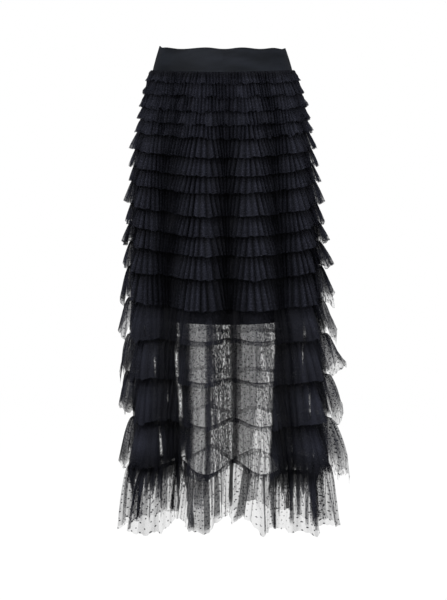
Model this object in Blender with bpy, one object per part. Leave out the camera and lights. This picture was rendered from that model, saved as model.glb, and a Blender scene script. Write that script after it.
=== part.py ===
"""Ankle-length tiered tulle skirt, standing open and hollow as it hangs from a waist.

A wide flat waistband carries a short opaque lining and a long tulle foundation. Eighteen gathered
tulle tiers are sewn to the foundation by their top edges, and each hem covers the next tier's seam.
Frame: metres, +Z up, the front faces -Y, the origin is the centre of the waistband at mid-height.
"""

import math
from collections import namedtuple

import bpy
from mathutils import Vector

# ------------------------------------------------------------------ cloth walls and seams
BAND_WALL = 0.0030
FOUNDATION_WALL = 0.0012
LINING_WALL = 0.0010
TIER_WALL = 0.0016
SEAM_GAP = 0.0003

# ------------------------------------------------------------------ the foundation's sections
# One row for each section, from the band's top edge down. Heights are those of the front's ridges,
# and drape is how much higher the cloth is drawn up in a fold's valley.
Section = namedtuple("Section", "height half_width half_depth shift side_rise fold drape")
SECTIONS = [
    Section(0.015, 0.1300, 0.0930, 0.000, 0.006, 0.0000, 0.000),
    Section(-0.035, 0.1440, 0.1030, 0.000, 0.013, 0.0003, 0.000),
    Section(-0.079, 0.1523, 0.1125, 0.001, 0.017, 0.0020, 0.000),
    Section(-0.136, 0.1608, 0.1220, 0.001, 0.021, 0.0036, 0.000),
    Section(-0.203, 0.1700, 0.1300, 0.002, 0.027, 0.0056, 0.001),
    Section(-0.276, 0.1765, 0.1370, 0.002, 0.032, 0.0072, 0.002),
    Section(-0.362, 0.1822, 0.1420, 0.004, 0.032, 0.0088, 0.003),
    Section(-0.448, 0.1866, 0.1460, 0.006, 0.025, 0.0103, 0.004),
    Section(-0.511, 0.1855, 0.1485, 0.008, 0.020, 0.0114, 0.006),
    Section(-0.580, 0.1870, 0.1510, 0.011, 0.017, 0.0126, 0.009),
    Section(-0.661, 0.1863, 0.1527, 0.013, 0.015, 0.0143, 0.010),
    Section(-0.748, 0.1850, 0.1540, 0.016, 0.014, 0.0158, 0.018),
    Section(-0.844, 0.1815, 0.1545, 0.019, 0.013, 0.0172, 0.029),
    Section(-0.956, 0.1710, 0.1540, 0.012, 0.011, 0.0185, 0.036),
]
BAND_TOP = SECTIONS[0].height
BAND_BOTTOM = SECTIONS[1].height
LINING_ROWS = (-0.203, -0.362)
LINING_HEM = -0.545
FOUNDATION_HEM = -0.852
# How the rise runs round: nothing at the front, all of it at the sides, a little more at the back.
RISE_MEAN, RISE_ONCE, RISE_TWICE = 0.825, -0.65, -0.175

# ------------------------------------------------------------------ the standing folds
# Angles go round from the centre front towards +X. Depths are shares of a section's fold, and
# valley_rise of its drape.
Fold = namedtuple("Fold", "ridge_deg ridge_out valley_deg valley_in valley_rise")
FOLDS = [
    Fold(18.0, 1.05, 36.0, 1.20, 0.10),
    Fold(54.0, 0.95, 70.0, 0.75, 0.35),
    Fold(86.0, 1.00, 101.0, 0.85, 0.30),
    Fold(117.0, 0.90, 132.0, 1.10, 0.45),
    Fold(148.0, 1.05, 163.0, 0.80, 0.60),
    Fold(179.0, 0.90, 194.0, 1.15, 0.90),
    Fold(210.0, 1.10, 225.0, 0.85, 0.40),
    Fold(241.0, 0.85, 256.0, 0.90, 0.30),
    Fold(271.0, 1.00, 285.0, 0.75, 0.35),
    Fold(299.0, 0.95, 321.0, 1.25, 0.80),
    Fold(345.0, 1.05, 361.5, 1.60, 1.00),
]
FULL_TURN = 360.0
STEPS_PER_SIDE = 3
DEEPEST_VALLEY = max(fold.valley_in for fold in FOLDS)
# The band's top edge waves a little, and stands up at the two side seams.
BAND_EDGE_WAVE = 0.0012
BAND_PEAK_LEFT, BAND_PEAK_RIGHT = 0.0065, 0.0015
BAND_PEAK_SHARPNESS = 12
LINING_FOLD_SHARE = 0.5

# ------------------------------------------------------------------ the tiers
# hem is the front hem's height, flare how far the hem stands off the foundation, wave how deep its
# own waves are, side_lift how much higher it is carried at the sides, phase where its waves start.
Tier = namedtuple("Tier", "hem flare wave side_lift phase")
TIERS = [
    Tier(-0.059, 0.0050, 0.0006, 0.000, 0),
    Tier(-0.087, 0.0060, 0.0008, 0.000, 3),
    Tier(-0.116, 0.0075, 0.0010, 0.000, 1),
    Tier(-0.144, 0.0080, 0.0010, 0.000, 4),
    Tier(-0.172, 0.0085, 0.0012, 0.000, 2),
    Tier(-0.211, 0.0105, 0.0020, 0.002, 5),
    Tier(-0.249, 0.0105, 0.0022, 0.003, 1),
    Tier(-0.284, 0.0105, 0.0024, 0.004, 3),
    Tier(-0.330, 0.0115, 0.0026, 0.006, 0),
    Tier(-0.371, 0.0120, 0.0028, 0.009, 2),
    Tier(-0.410, 0.0125, 0.0030, 0.011, 5),
    Tier(-0.457, 0.0135, 0.0034, 0.012, 1),
    Tier(-0.520, 0.0155, 0.0040, 0.017, 0),
    Tier(-0.589, 0.0190, 0.0050, 0.021, 1),
    Tier(-0.671, 0.0220, 0.0058, 0.026, 0),
    Tier(-0.758, 0.0240, 0.0064, 0.028, 5),
    Tier(-0.853, 0.0270, 0.0070, 0.026, 0),
    Tier(-0.956, 0.0250, 0.0076, 0.008, 1),
]
OVERLAP_SMALL = 0.0080
OVERLAP_LARGE = 0.0095
FIRST_LARGE_TIER = 13
# Tall tiers bend on the way down: at this share of the drop they stand off by this share.
BEND_DROP, BEND_OUT = 0.30, 0.45
SIDE_FLARE = 0.25

# ------------------------------------------------------------------ colours
Finish = namedtuple("Finish", "colour roughness")
BAND_FINISH = Finish((0.016, 0.018, 0.024), 0.55)
TULLE_FINISH = Finish((0.012, 0.012, 0.018), 0.80)
LINING_FINISH = Finish((0.008, 0.008, 0.011), 0.70)


def angles_round():
    """The angles of a ring's points: between each ridge and valley, even steps that straddle both."""
    angles = []
    for i, fold in enumerate(FOLDS):
        next_ridge = FOLDS[(i + 1) % len(FOLDS)].ridge_deg
        if next_ridge < fold.valley_deg:
            next_ridge += FULL_TURN
        for start, end in ((fold.ridge_deg, fold.valley_deg), (fold.valley_deg, next_ridge)):
            for step in range(STEPS_PER_SIDE):
                share = (step + 0.5) / STEPS_PER_SIDE
                angles.append(math.radians(start + (end - start) * share))
    return angles


def eased_round(ridge_values, valley_values):
    """Values at a ring's points, eased from each ridge's value to its valley's and back."""
    eased = []
    for i, (ridge, valley) in enumerate(zip(ridge_values, valley_values)):
        next_ridge = ridge_values[(i + 1) % len(ridge_values)]
        for start, end in ((ridge, valley), (valley, next_ridge)):
            for step in range(STEPS_PER_SIDE):
                ease = (1 - math.cos(math.pi * (step + 0.5) / STEPS_PER_SIDE)) / 2
                eased.append(start + (end - start) * ease)
    return eased


ANGLES = angles_round()
COUNT = len(ANGLES)
# How far out the cloth stands at each point, as a share of the fold, and how far it is drawn up.
SHAPE = eased_round([fold.ridge_out for fold in FOLDS], [-fold.valley_in for fold in FOLDS])
DRAWN_UP = eased_round([0.0] * len(FOLDS), [fold.valley_rise for fold in FOLDS])


def section_at(height):
    """The foundation's section at a height, straight between the rows of the table."""
    for upper, lower in zip(SECTIONS, SECTIONS[1:]):
        if height >= lower.height:
            break
    share = (upper.height - height) / (upper.height - lower.height)
    return Section(*(a + (b - a) * share for a, b in zip(upper, lower)))


def rise_at(angle, section):
    """How much higher than the centre front a level line of the cloth is carried at this angle."""
    return section.side_rise * (
        RISE_MEAN + RISE_ONCE * math.cos(angle) + RISE_TWICE * math.cos(2 * angle)
    )


def ring(height, inset=0.0, fold_share=1.0, drape_share=1.0, flare=0.0, wave=0.0, phase=0, lift=0.0):
    """One closed ring of points of the foundation's outer face, or of a cloth that follows it."""
    section = section_at(height)
    wide, deep = section.half_width - inset, section.half_depth - inset
    points = []
    for i, angle in enumerate(ANGLES):
        across, towards_front = math.sin(angle), math.cos(angle)
        outward = Vector((across * deep, -towards_front * wide, 0)).normalized()
        sideways = across * across
        out = SHAPE[i] * section.fold * fold_share
        out += flare * (1 + SIDE_FLARE * sideways)
        out += SHAPE[(i + phase) % COUNT] * wave
        level = height + rise_at(angle, section) + lift * sideways * sideways
        level += DRAWN_UP[i] * section.drape * drape_share
        point = Vector((section.shift + wide * across, -deep * towards_front, level))
        points.append(point + outward * out)
    return points


def moved_out(points, distance):
    """The ring's points moved out square to its edges, so that a wall keeps its thickness."""
    moved = []
    for i, point in enumerate(points):
        before = (point - points[i - 1]).xy.normalized()
        after = (points[(i + 1) % COUNT] - point).xy.normalized()
        normal = Vector((before.y + after.y, -before.x - after.x)).normalized()
        corner = normal.x * after.y - normal.y * after.x
        moved.append(point + Vector((normal.x, normal.y, 0)) * (distance / corner))
    return moved


def material(name, finish):
    made = bpy.data.materials.new(name)
    made.use_nodes = True
    shader = made.node_tree.nodes["Principled BSDF"]
    shader.inputs["Base Color"].default_value = (*finish.colour, 1.0)
    shader.inputs["Roughness"].default_value = finish.roughness
    shader.inputs["Metallic"].default_value = 0.0
    return made


def cloth_wall(name, inner_rows, thickness, finish):
    """A closed wall round the skirt, from its inner face's rings, listed from the top down."""
    outer_rows = [moved_out(row, thickness) for row in inner_rows]
    points = [point for row in outer_rows + inner_rows for point in row]
    rows = len(inner_rows)

    def at(row, i):
        return row * COUNT + i % COUNT

    def strip(upper, lower, i):
        corners = (at(upper, i), at(lower, i), at(lower, i + 1), at(upper, i + 1))
        return [corners[:3], (corners[0], corners[2], corners[3])]

    faces = []
    for i in range(COUNT):
        for row in range(rows - 1):
            faces += strip(row, row + 1, i)
            faces += [face[::-1] for face in strip(rows + row, rows + row + 1, i)]
        faces += strip(rows, 0, i)
        faces += strip(rows - 1, 2 * rows - 1, i)
    mesh = bpy.data.meshes.new(name)
    mesh.from_pydata(points, [], faces)
    mesh.shade_smooth()
    mesh.set_sharp_from_angle(angle=math.radians(50))
    mesh.materials.append(finish)
    made = bpy.data.objects.new(name, mesh)
    bpy.context.scene.collection.objects.link(made)
    return made


def make_waistband(finish):
    """The flat band. Its inner face passes inside the lining, so that it caps both cloths below."""
    rows = [moved_out(ring(height), SEAM_GAP - BAND_WALL) for height in (BAND_TOP, BAND_BOTTOM)]
    for angle, shape, point in zip(ANGLES, SHAPE, rows[0]):
        across = math.sin(angle)
        peak = BAND_PEAK_RIGHT if across > 0 else BAND_PEAK_LEFT
        point.z += shape * BAND_EDGE_WAVE + peak * across**BAND_PEAK_SHARPNESS
    return cloth_wall("waistband", rows, BAND_WALL, finish)


def make_foundation(finish):
    """The sheer tulle underskirt that every tier is sewn to, with a row of points along each seam."""
    heights = [seam_height(number) for number in range(len(TIERS))]
    heights.append(FOUNDATION_HEM)
    rows = [moved_out(ring(height), -FOUNDATION_WALL) for height in heights]
    return cloth_wall("foundation", rows, FOUNDATION_WALL, finish)


def lining_ring(height):
    """The lining's inner face: inside the foundation, clear of its deepest valley, its hem level."""
    spare = section_at(height).fold * DEEPEST_VALLEY * (1 - LINING_FOLD_SHARE)
    inset = FOUNDATION_WALL + SEAM_GAP + LINING_WALL + spare
    return ring(height, inset=inset, fold_share=LINING_FOLD_SHARE, drape_share=0.0)


def make_lining(finish):
    """The short opaque slip under the foundation."""
    heights = [BAND_BOTTOM - SEAM_GAP, *LINING_ROWS, LINING_HEM]
    return cloth_wall("lining", [lining_ring(h) for h in heights], LINING_WALL, finish)


def seam_height(number):
    """The height of a tier's seam: the band's edge, or just above the hem that covers it."""
    if number == 0:
        return BAND_BOTTOM - SEAM_GAP
    overlap = OVERLAP_LARGE if number >= FIRST_LARGE_TIER else OVERLAP_SMALL
    return TIERS[number - 1].hem + overlap


def make_tier(number, finish):
    """A gathered strip: its top edge lies on the foundation and its hem stands off it."""
    tier, seam = TIERS[number], seam_height(number)
    rows = [moved_out(ring(seam), SEAM_GAP)]
    shares = [(1.0, 1.0)]
    if number >= FIRST_LARGE_TIER - 1:
        shares.insert(0, (BEND_DROP, BEND_OUT))
    for drop, out in shares:
        row = ring(
            seam + (tier.hem - seam) * drop,
            flare=tier.flare * out,
            wave=tier.wave * out,
            phase=tier.phase,
            lift=tier.side_lift * out,
        )
        rows.append(moved_out(row, SEAM_GAP))
    return cloth_wall(f"tier_{number + 1:02d}", rows, TIER_WALL, finish)


def main():
    for old in list(bpy.data.objects):
        bpy.data.objects.remove(old)
    band = material("satin_band", BAND_FINISH)
    tulle = material("black_tulle", TULLE_FINISH)
    slip = material("lining_cloth", LINING_FINISH)
    make_waistband(band)
    make_lining(slip)
    make_foundation(tulle)
    for number in range(len(TIERS)):
        make_tier(number, tulle)


main()
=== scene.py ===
"""The looks of a long black tiered tulle skirt, filled out as if worn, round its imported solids.

The cloths follow the order in which the skirt is put together: the waistband, the short opaque
lining, the sheer foundation, and the eighteen gathered tulle tiers that are sewn to it.
"""

import math
from collections import namedtuple

import bpy
import numpy as np
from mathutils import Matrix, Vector


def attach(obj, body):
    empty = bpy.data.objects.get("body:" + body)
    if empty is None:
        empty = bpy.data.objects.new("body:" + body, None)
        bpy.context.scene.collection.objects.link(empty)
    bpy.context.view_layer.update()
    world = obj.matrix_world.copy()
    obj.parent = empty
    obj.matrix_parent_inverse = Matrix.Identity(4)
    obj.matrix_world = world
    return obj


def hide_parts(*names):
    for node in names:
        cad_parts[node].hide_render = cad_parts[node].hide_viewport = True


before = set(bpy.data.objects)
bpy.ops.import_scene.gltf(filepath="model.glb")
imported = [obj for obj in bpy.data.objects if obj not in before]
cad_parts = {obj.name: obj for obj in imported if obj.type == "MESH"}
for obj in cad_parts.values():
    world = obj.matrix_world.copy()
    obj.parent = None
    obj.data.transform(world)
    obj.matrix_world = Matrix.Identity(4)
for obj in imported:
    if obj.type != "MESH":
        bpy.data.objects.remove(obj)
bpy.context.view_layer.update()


# ------------------------------------------------------------------------------------- the studio
# A white floor that glows a little, as lit paper does, and a white room round it. Three soft boxes
# light the skirt from the front, and the camera looks level at the middle of it from 5 m.
FLOOR_HEIGHT, FLOOR_RADIUS = -1.16, 12.0
FLOOR_GLOW = 0.98
ROOM_LIGHT = 0.30
CAMERA_AT = (0.002, -5.0, -0.495)
VIEW_ANGLE = math.radians(14.1)
AIM = (0.0, 0.0, -0.45)
SoftBox = namedtuple("SoftBox", "name place size watts")
SOFT_BOXES = [
    SoftBox("key_box", (-2.2, -2.4, 1.9), 1.6, 110.0),
    SoftBox("top_box", (0.4, -1.3, 2.6), 1.2, 50.0),
    SoftBox("fill_box", (2.6, -2.4, 0.7), 1.8, 60.0),
]


def white_floor():
    paper = bpy.data.materials.new("white_paper")
    paper.use_nodes = True
    shader = paper.node_tree.nodes["Principled BSDF"]
    shader.inputs["Base Color"].default_value = (0.06, 0.06, 0.06, 1)
    shader.inputs["Roughness"].default_value = 0.9
    shader.inputs["Specular IOR Level"].default_value = 0.0
    shader.inputs["Emission Color"].default_value = (1, 1, 1, 1)
    shader.inputs["Emission Strength"].default_value = FLOOR_GLOW
    turns = [math.radians(angle) for angle in range(0, 360, 5)]
    points = [(FLOOR_RADIUS * math.cos(a), FLOOR_RADIUS * math.sin(a), FLOOR_HEIGHT) for a in turns]
    mesh = bpy.data.meshes.new("white_floor")
    mesh.from_pydata(points, [], [list(range(len(points)))])
    mesh.materials.append(paper)
    floor = bpy.data.objects.new("white_floor", mesh)
    bpy.context.scene.collection.objects.link(floor)
    floor.visible_diffuse = False
    floor.visible_glossy = False


def soft_box(box):
    light = bpy.data.lights.new(box.name, "AREA")
    light.shape = "SQUARE"
    light.size = box.size
    light.energy = box.watts
    lamp = bpy.data.objects.new(box.name, light)
    bpy.context.scene.collection.objects.link(lamp)
    lamp.location = box.place
    lamp.rotation_euler = (Vector(AIM) - Vector(box.place)).to_track_quat("-Z", "Y").to_euler()
    lamp.visible_camera = False


def white_room():
    """A world that shows as white, and lights the skirt with a soft part of that."""
    room = bpy.data.worlds.new("white_room")
    room.use_nodes = True
    tree = room.node_tree
    path = tree.nodes.new("ShaderNodeLightPath")
    strength = tree.nodes.new("ShaderNodeMapRange")
    strength.inputs["To Min"].default_value = ROOM_LIGHT
    strength.inputs["To Max"].default_value = 1.0
    tree.links.new(path.outputs["Is Camera Ray"], strength.inputs["Value"])
    tree.links.new(strength.outputs[0], tree.nodes["Background"].inputs["Strength"])
    tree.nodes["Background"].inputs["Color"].default_value = (1, 1, 1, 1)
    bpy.context.scene.world = room


white_floor()
white_room()
for box in SOFT_BOXES:
    soft_box(box)

lens = bpy.data.cameras.new("camera")
lens.sensor_fit = "VERTICAL"
lens.lens = lens.sensor_height / (2 * math.tan(VIEW_ANGLE / 2))
camera = bpy.data.objects.new("camera", lens)
camera.location = CAMERA_AT
camera.rotation_euler = (math.radians(90), 0, 0)
bpy.context.scene.collection.objects.link(camera)
bpy.context.scene.camera = camera
bpy.context.scene.view_settings.view_transform = "Standard"
bpy.context.scene.cycles.transparent_max_bounces = 96


# ---------------------------------------------------------------------------------- the waistband
# A flat band of close-woven stretch satin, 5 cm high, folded over along its top edge. It carries
# every other cloth. All of them hang in the same eleven standing folds, set out here.
Section = namedtuple("Section", "height half_width half_depth shift side_rise fold drape")
SECTIONS = [
    Section(0.015, 0.1300, 0.0930, 0.000, 0.006, 0.0000, 0.000),
    Section(-0.035, 0.1440, 0.1030, 0.000, 0.013, 0.0003, 0.000),
    Section(-0.079, 0.1523, 0.1125, 0.001, 0.017, 0.0020, 0.000),
    Section(-0.136, 0.1608, 0.1220, 0.001, 0.021, 0.0036, 0.000),
    Section(-0.203, 0.1700, 0.1300, 0.002, 0.027, 0.0056, 0.001),
    Section(-0.276, 0.1765, 0.1370, 0.002, 0.032, 0.0072, 0.002),
    Section(-0.362, 0.1822, 0.1420, 0.004, 0.032, 0.0088, 0.003),
    Section(-0.448, 0.1866, 0.1460, 0.006, 0.025, 0.0103, 0.004),
    Section(-0.511, 0.1855, 0.1485, 0.008, 0.020, 0.0114, 0.006),
    Section(-0.580, 0.1870, 0.1510, 0.011, 0.017, 0.0126, 0.009),
    Section(-0.661, 0.1863, 0.1527, 0.013, 0.015, 0.0143, 0.010),
    Section(-0.748, 0.1850, 0.1540, 0.016, 0.014, 0.0158, 0.018),
    Section(-0.844, 0.1815, 0.1545, 0.019, 0.013, 0.0172, 0.029),
    Section(-0.956, 0.1710, 0.1540, 0.012, 0.011, 0.0185, 0.036),
]
RISE_MEAN, RISE_ONCE, RISE_TWICE = 0.825, -0.65, -0.175
Fold = namedtuple("Fold", "ridge_deg ridge_out valley_deg valley_in valley_rise")
FOLDS = [
    Fold(18.0, 1.05, 36.0, 1.20, 0.10),
    Fold(54.0, 0.95, 70.0, 0.75, 0.35),
    Fold(86.0, 1.00, 101.0, 0.85, 0.30),
    Fold(117.0, 0.90, 132.0, 1.10, 0.45),
    Fold(148.0, 1.05, 163.0, 0.80, 0.60),
    Fold(179.0, 0.90, 194.0, 1.15, 0.90),
    Fold(210.0, 1.10, 225.0, 0.85, 0.40),
    Fold(241.0, 0.85, 256.0, 0.90, 0.30),
    Fold(271.0, 1.00, 285.0, 0.75, 0.35),
    Fold(299.0, 0.95, 321.0, 1.25, 0.80),
    Fold(345.0, 1.05, 361.5, 1.60, 1.00),
]
SIDE_FLARE = 0.25
SEAM_GAP = 0.0003
BAND_TOP, BAND_BOTTOM = SECTIONS[0].height, SECTIONS[1].height
BAND_WALL = 0.0030
BAND_EDGE_WAVE = 0.0012
BAND_PEAK_LEFT, BAND_PEAK_RIGHT = 0.0065, 0.0015
BAND_PEAK_SHARPNESS = 12
BAND_PUFF = 0.0007
BAND_COLUMNS = 480
SATIN_COLOURS = (0.0036, 0.0046, 0.0068, 1), (0.0104, 0.0124, 0.0173, 1)
SATIN_RIB, SATIN_CROSS, SATIN_SLANT = 0.0011, 0.0008, 0.55


Place = namedtuple("Place", "out to_valley drawn_up")


def along_folds(turn):
    """Where each angle lies in the folds.

    out is the share of the fold's depth, to_valley the way to the nearest valley, from -1 to 1,
    and drawn_up the share of the drape.
    """
    stops, outs, rises = [], [], []
    for fold in FOLDS:
        stops += [fold.ridge_deg, fold.valley_deg]
        outs += [fold.ridge_out, -fold.valley_in]
        rises += [0.0, fold.valley_rise]
    stops = np.array(stops + [FOLDS[0].ridge_deg + 360])
    outs, rises = np.array(outs + outs[:1]), np.array(rises + rises[:1])
    turn = (turn - stops[0]) % 360 + stops[0]
    at = np.clip(np.searchsorted(stops, turn, side="right") - 1, 0, len(stops) - 2)
    share = (turn - stops[at]) / (stops[at + 1] - stops[at])
    ease = (1 - np.cos(np.pi * share)) / 2
    to_valley = np.where(at % 2 == 0, 1, -1) * np.sin(np.pi * share)
    return Place(
        outs[at] + (outs[at + 1] - outs[at]) * ease,
        to_valley,
        rises[at] + (rises[at + 1] - rises[at]) * ease,
    )


def hang(
    turn, height, inset=0.0, fold_share=1.0, drape_share=1.0, flare=0.0, wave=0.0, wave_turn=0.0, lift=0.0
):
    """Points of a cloth that hangs from the waist, for arrays of angles and front heights."""
    heights = [-s.height for s in SECTIONS]
    wide, deep, shift, rise, fold, drape = (
        np.interp(-height, heights, [getattr(s, size) for s in SECTIONS])
        for size in ("half_width", "half_depth", "shift", "side_rise", "fold", "drape")
    )
    wide, deep = wide - inset, deep - inset
    angle = np.radians(turn)
    across, front = np.sin(angle), np.cos(angle)
    length = np.hypot(across * deep, front * wide)
    out_x, out_y = across * deep / length, -front * wide / length
    place = along_folds(turn)
    out = place.out * fold * fold_share + flare * (1 + SIDE_FLARE * across**2)
    out = out + along_folds(turn + wave_turn).out * wave
    level = height + lift * across**4 + place.drawn_up * drape * drape_share
    level = level + rise * (RISE_MEAN + RISE_ONCE * front + RISE_TWICE * np.cos(2 * angle))
    return np.stack([shift + wide * across + out_x * out, -deep * front + out_y * out, level], -1)


def moved_out(rows, distance):
    """Rows of points round the skirt, moved out square to each row."""
    along = np.roll(rows, -1, axis=1) - np.roll(rows, 1, axis=1)
    along[..., 2] = 0
    along /= np.linalg.norm(along, axis=-1, keepdims=True)
    outward = np.stack([along[..., 1], -along[..., 0], np.zeros_like(along[..., 0])], -1)
    return rows + outward * np.asarray(distance)[..., None]


def ring_of_cloth(name, rows, cut, finish, closed=False, values=None):
    """A cloth's mesh from rows of points round the skirt, listed from the top edge down.

    cut is the flat cloth's width and drop, which the UV map gives in metres, closed joins the last
    row to the first, and values are further numbers that the finish reads at each point.
    """
    count, columns = rows.shape[:2]
    spans = count if closed else count - 1
    row, column = np.meshgrid(np.arange(spans), np.arange(columns), indexing="ij")
    below, beside = (row + 1) % count, (column + 1) % columns
    corners = [row * columns + column, below * columns + column]
    corners += [below * columns + beside, row * columns + beside]
    faces = np.stack(corners, -1).reshape(-1, 4)
    mesh = bpy.data.meshes.new(name)
    mesh.from_pydata(rows.reshape(-1, 3), [], faces.tolist())
    across = np.stack([column, column, column + 1, column + 1], -1) / columns
    down = np.stack([row, row + 1, row + 1, row], -1) / spans
    flat = np.stack([across * cut[0], -down * cut[1]], -1)
    mesh.uv_layers.new(name="cut").data.foreach_set("uv", flat.astype(np.float32).ravel())
    numbers = {
        "round": np.broadcast_to(np.arange(columns) / columns, (count, columns)),
        "down": np.broadcast_to(np.linspace(0, 1, count)[:, None], (count, columns)),
        **(values or {}),
    }
    for label, number in numbers.items():
        layer = mesh.attributes.new(label, "FLOAT", "POINT")
        layer.data.foreach_set("value", np.ascontiguousarray(number, dtype=np.float32).ravel())
    mesh.shade_smooth()
    mesh.materials.append(finish)
    cloth = bpy.data.objects.new(name, mesh)
    bpy.context.scene.collection.objects.link(cloth)
    return cloth


class Wiring:
    """Short ways to add nodes to one tree and to join them."""

    def __init__(self, tree):
        self.tree = tree

    def add(self, kind, inputs=None, **settings):
        node = self.tree.nodes.new(kind)
        for name, value in settings.items():
            setattr(node, name, value)
        for socket, value in (inputs or {}).items():
            self.give(node.inputs[socket], value)
        return node

    def give(self, socket, value):
        if hasattr(value, "is_linked"):
            self.tree.links.new(value, socket)
        else:
            socket.default_value = value

    def math(self, operation, *values, clamp=False):
        node = self.add("ShaderNodeMath", operation=operation, use_clamp=clamp)
        for socket, value in zip(node.inputs, values):
            self.give(socket, value)
        return node.outputs[0]

    def between(self, value, low, high, new_low=0.0, new_high=1.0):
        node = self.add("ShaderNodeMapRange", interpolation_type="SMOOTHSTEP")
        for socket, number in zip(node.inputs, (value, low, high, new_low, new_high)):
            self.give(socket, number)
        return node.outputs[0]

    def number(self, name):
        """One of the numbers that the cloth's mesh carries, in a shader's tree."""
        return self.add("ShaderNodeAttribute", attribute_name=name).outputs["Fac"]

    def tint(self, shader, share, colours):
        """Gives a shader a colour between a dark one at share 0 and a light one at share 1."""
        mix = self.add("ShaderNodeMix", data_type="RGBA")
        for socket, value in zip(("Factor", 6, 7), (share, *colours)):
            self.give(mix.inputs[socket], value)
        self.give(shader.inputs["Base Color"], mix.outputs[2])


def new_finish(name, roughness, specular, sheen):
    """A cloth's material with its steady values set, and the wiring of its tree."""
    finish = bpy.data.materials.new(name)
    finish.use_nodes = True
    shader = finish.node_tree.nodes["Principled BSDF"]
    shader.inputs["Roughness"].default_value = roughness
    shader.inputs["Specular IOR Level"].default_value = specular
    shader.inputs["Sheen Weight"].default_value = sheen
    shader.inputs["Sheen Roughness"].default_value = 0.4
    return finish, Wiring(finish.node_tree), shader


def satin_finish():
    """Blue-black satin: a fine slanting weave, and slow changes of tone where it is stretched."""
    finish, w, shader = new_finish("band_satin", 0.55, 0.08, 0.0)
    place = w.add("ShaderNodeUVMap", uv_map="cut").outputs[0]
    stretched = w.add("ShaderNodeMapping", inputs={"Vector": place, "Scale": (9.0, 30.0, 1.0)})
    tone = w.add("ShaderNodeTexNoise", inputs={"Vector": stretched.outputs[0], "Scale": 1.0, "Detail": 3.0})
    w.tint(shader, w.between(tone.outputs[0], 0.3, 0.7), SATIN_COLOURS)
    split = w.add("ShaderNodeSeparateXYZ", inputs={0: place})
    slant = w.math("ADD", split.outputs[0], w.math("MULTIPLY", split.outputs[1], SATIN_SLANT))
    rib = w.math("SINE", w.math("MULTIPLY", slant, 2 * math.pi / SATIN_RIB))
    cross = w.math("SINE", w.math("MULTIPLY", split.outputs[1], 2 * math.pi / SATIN_CROSS))
    weave = w.math("ADD", rib, w.math("MULTIPLY", cross, 0.5))
    bump = w.add("ShaderNodeBump", inputs={"Strength": 0.25, "Distance": 0.0003, "Height": weave})
    w.give(shader.inputs["Normal"], bump.outputs[0])
    return finish


def waistband_profile():
    """The folded strip's cross-section from its inner edge, over the fold, to its outer edge.

    Each entry gives how far out of the wall's middle a row of points lies, and how far down the
    band, from 0 at the top edge to 1 at the bottom edge.
    """
    half = BAND_WALL / 2
    bend = half / (BAND_TOP - BAND_BOTTOM)
    inner = [(-half, down) for down in np.linspace(1 - bend, bend, 7)]
    fold = [(-math.cos(a) * half, bend - math.sin(a) * bend) for a in np.linspace(0.5, 2.64, 5)]
    outer = []
    for down in np.linspace(bend, 1 - bend, 19):
        outer.append((half + BAND_PUFF * (math.sin(math.pi * down) ** 0.6 - 1), down))
    turned_in = [(math.cos(a) * half, 1 - bend + math.sin(a) * bend) for a in (0.5, 1.0, 1.5)]
    return inner + fold + outer + turned_in


def make_waistband():
    turn = np.arange(BAND_COLUMNS) * 360 / BAND_COLUMNS
    across = np.sin(np.radians(turn))
    folds = along_folds(turn).out
    peak = np.where(across > 0, BAND_PEAK_RIGHT, BAND_PEAK_LEFT) * across**BAND_PEAK_SHARPNESS
    rows = []
    for out, down in waistband_profile():
        row = hang(turn, np.full(len(turn), BAND_TOP + (BAND_BOTTOM - BAND_TOP) * down))
        row[:, 2] += (folds * BAND_EDGE_WAVE + peak) * (1 - down)
        rows.append(moved_out(row[None], np.full(len(turn), SEAM_GAP - BAND_WALL / 2 + out))[0])
    waist_round = np.linalg.norm(np.diff(rows[-1], axis=0), axis=1).sum()
    cut = (waist_round, 2 * (BAND_TOP - BAND_BOTTOM))
    band = ring_of_cloth("satin_waistband", np.stack(rows), cut, satin_finish())
    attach(band, "root")
    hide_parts("waistband")


make_waistband()


# ------------------------------------------------------------------------------------- the lining
# A short slip of matte opaque cloth, cut with little fullness. Its top edge is caught in the band
# by a seam. It ends above the knee, and its hem shows through the tulle.
LINING_WALL = 0.0010
FOUNDATION_WALL = 0.0012
LINING_HEM = -0.545
CAUGHT_IN = 0.0018
LINING_FOLD_SHARE = 0.5
LINING_COLUMNS, LINING_ROWS = 420, 60
# The lining's colour in the painted shade and the painted light of its faint creases.
LINING_CREASE_SHADE_COLOURS = (0.0030, 0.0031, 0.0042, 1), (0.0060, 0.0062, 0.0080, 1)
LINING_WEAVE = 0.0009
DEEPEST_VALLEY = max(fold.valley_in for fold in FOLDS)


def lining_finish():
    """Matte black lining: a plain weave, and faint upright creases painted as streaks of light and shade in
    its colour.
    """
    finish, w, shader = new_finish("lining_cloth", 0.8, 0.04, 0.0)
    place = w.add("ShaderNodeUVMap", uv_map="cut").outputs[0]
    stretched = w.add("ShaderNodeMapping", inputs={"Vector": place, "Scale": (60.0, 4.0, 1.0)})
    tone = w.add("ShaderNodeTexNoise", inputs={"Vector": stretched.outputs[0], "Scale": 1.0, "Detail": 2.0})
    # Painted light and shade: upright streaks of darker and lighter colour stand in for faint creases.
    w.tint(shader, tone.outputs[0], LINING_CREASE_SHADE_COLOURS)
    split = w.add("ShaderNodeSeparateXYZ", inputs={0: place})
    warp = w.math("SINE", w.math("MULTIPLY", split.outputs[0], 2 * math.pi / LINING_WEAVE))
    weft = w.math("SINE", w.math("MULTIPLY", split.outputs[1], 2 * math.pi / LINING_WEAVE))
    bump = w.add("ShaderNodeBump", inputs={"Strength": 0.2, "Distance": 0.0002})
    w.give(bump.inputs["Height"], w.math("MULTIPLY", warp, weft))
    w.give(shader.inputs["Normal"], bump.outputs[0])
    return finish


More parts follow.
